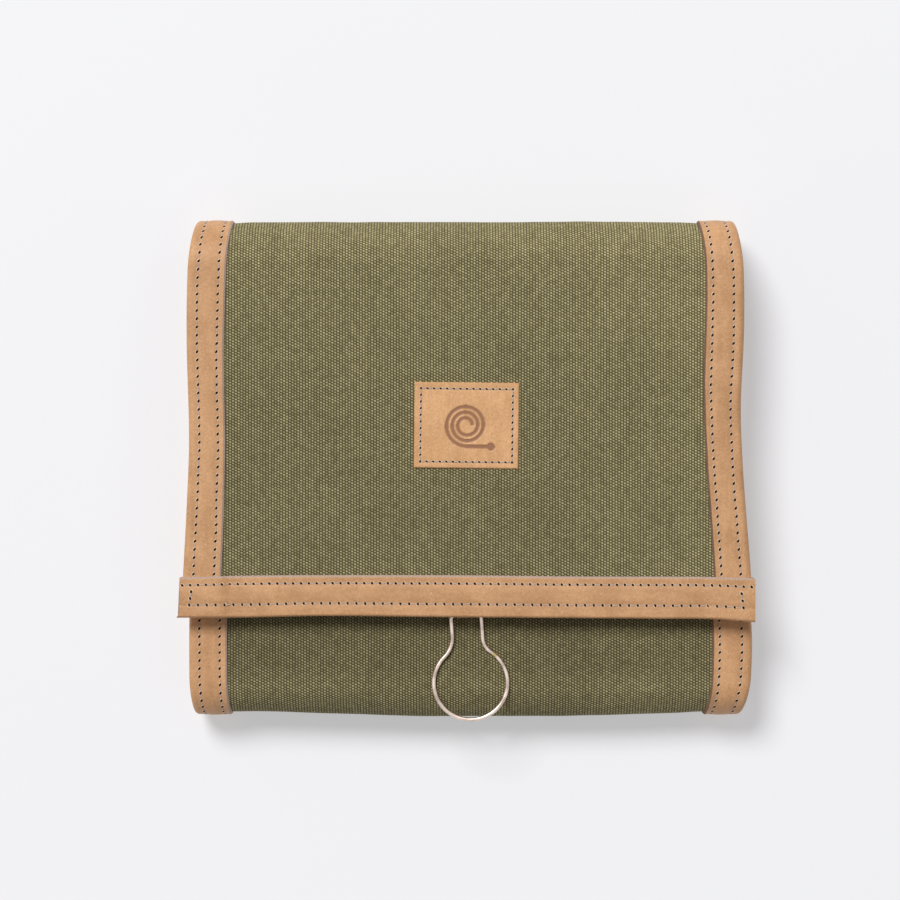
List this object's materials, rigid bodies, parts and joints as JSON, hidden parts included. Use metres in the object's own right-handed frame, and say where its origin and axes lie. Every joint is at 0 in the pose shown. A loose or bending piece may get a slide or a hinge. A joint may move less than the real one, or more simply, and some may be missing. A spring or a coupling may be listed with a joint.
{
  "type": "cable organizer pouch",
  "caption": "Folding canvas travel pouch with leather binding, a wire hanging hook, zipped inner pockets and elastic cable loops.",
  "frame": {"origin": "centre of the resting face, under the middle of the closed pouch", "axes": "+X to the right across the pouch, +Y towards the top fold, +Z out of the resting surface through the flap"},
  "size_m": [0.2612, 0.2289, 0.0434],
  "materials": {
    "canvas": "coarse plain-weave cotton canvas, olive",
    "lining": "fine plain-weave polyester, khaki",
    "foam": "closed-cell foam sheet, hidden",
    "binding_leather": "vegetable-tanned, natural, matte",
    "trim_leather": "vegetable-tanned, natural, matte",
    "hook_wire": "nickel-plated wire, satin",
    "zip_metal": "antique brass",
    "mesh": "open knitted mesh, dark olive",
    "closure_tape": "hook-and-loop tape",
    "elastic": "ribbed elastic webbing"
  },
  "bodies": {
    "back_panel": {"back_canvas": "canvas", "back_padding": "foam", "back_lining": "lining", "back_binding_left": "binding_leather", "back_binding_right": "binding_leather", "charger_pocket_gusset": "canvas", "charger_pocket_face_upper": "canvas", "charger_pocket_face_lower": "canvas", "charger_zip_tape": "canvas", "charger_zip_teeth": "zip_metal", "charger_zip_stops": "zip_metal", "mesh_pocket_gusset": "lining", "mesh_pocket_face_upper": "lining", "mesh_pocket_mesh": "mesh", "mesh_zip_tape": "canvas", "mesh_zip_teeth": "zip_metal", "mesh_zip_stops": "zip_metal"},
    "charger_slider": {"charger_zip_slider": "zip_metal", "charger_zip_pull": "trim_leather"},
    "mesh_slider": {"mesh_zip_slider": "zip_metal", "mesh_zip_pull": "trim_leather"},
    "top_fold": {"top_fold_canvas": "canvas", "top_fold_lining": "lining", "top_fold_binding_left": "binding_leather", "top_fold_binding_right": "binding_leather"},
    "flap": {"flap_canvas": "canvas", "flap_padding": "foam", "flap_lining": "lining", "flap_binding_left": "binding_leather", "flap_binding_right": "binding_leather", "flap_band": "trim_leather", "leather_patch": "trim_leather", "hook_keeper": "trim_leather", "closure_hook_tape": "closure_tape"},
    "hook": {"wire_hook": "hook_wire"},
    "bottom_fold": {"bottom_fold_canvas": "canvas", "bottom_fold_lining": "lining", "bottom_fold_binding_left": "binding_leather", "bottom_fold_binding_right": "binding_leather"},
    "front_panel": {"front_canvas": "canvas", "front_padding": "foam", "front_lining": "lining", "front_binding_left": "binding_leather", "front_binding_right": "binding_leather", "front_edge_binding": "binding_leather", "closure_loop_tape": "closure_tape", "cable_loops_upper": "elastic", "cable_loops_lower": "elastic"}
  },
  "joints": [
    {"name": "top_fold_open", "type": "hinge", "parent": "back_panel", "child": "top_fold", "pos_m": [0, 0.10832, 0.00618], "axis": [-1, 0, 0], "range_deg": [0, 90]},
    {"name": "flap_open", "type": "hinge", "parent": "top_fold", "child": "flap", "pos_m": [0, 0.10832, 0.03602], "axis": [-1, 0, 0], "range_deg": [0, 90]},
    {"name": "bottom_fold_open", "type": "hinge", "parent": "back_panel", "child": "bottom_fold", "pos_m": [0, -0.10841, 0.00469], "axis": [1, 0, 0], "range_deg": [0, 90]},
    {"name": "front_open", "type": "hinge", "parent": "bottom_fold", "child": "front_panel", "pos_m": [0, -0.10841, 0.02731], "axis": [1, 0, 0], "range_deg": [0, 90]},
    {"name": "hook_swing", "type": "hinge", "parent": "flap", "child": "hook", "pos_m": [-0.00037, -0.06598, 0.03277], "axis": [-0.9976, -0.0698, 0], "range_deg": [0, 28]},
    {"name": "charger_zip", "type": "slide", "parent": "back_panel", "child": "charger_slider", "axis": [-1, 0, 0], "range_m": [0, 0.168]},
    {"name": "mesh_zip", "type": "slide", "parent": "back_panel", "child": "mesh_slider", "axis": [-1, 0, 0], "range_m": [0, 0.168]}
  ],
  "couplings": [
    {"joint": "flap_open", "follows": "top_fold_open", "ratio": 1},
    {"joint": "bottom_fold_open", "follows": "top_fold_open", "ratio": 1},
    {"joint": "front_open", "follows": "top_fold_open", "ratio": 1}
  ]
}
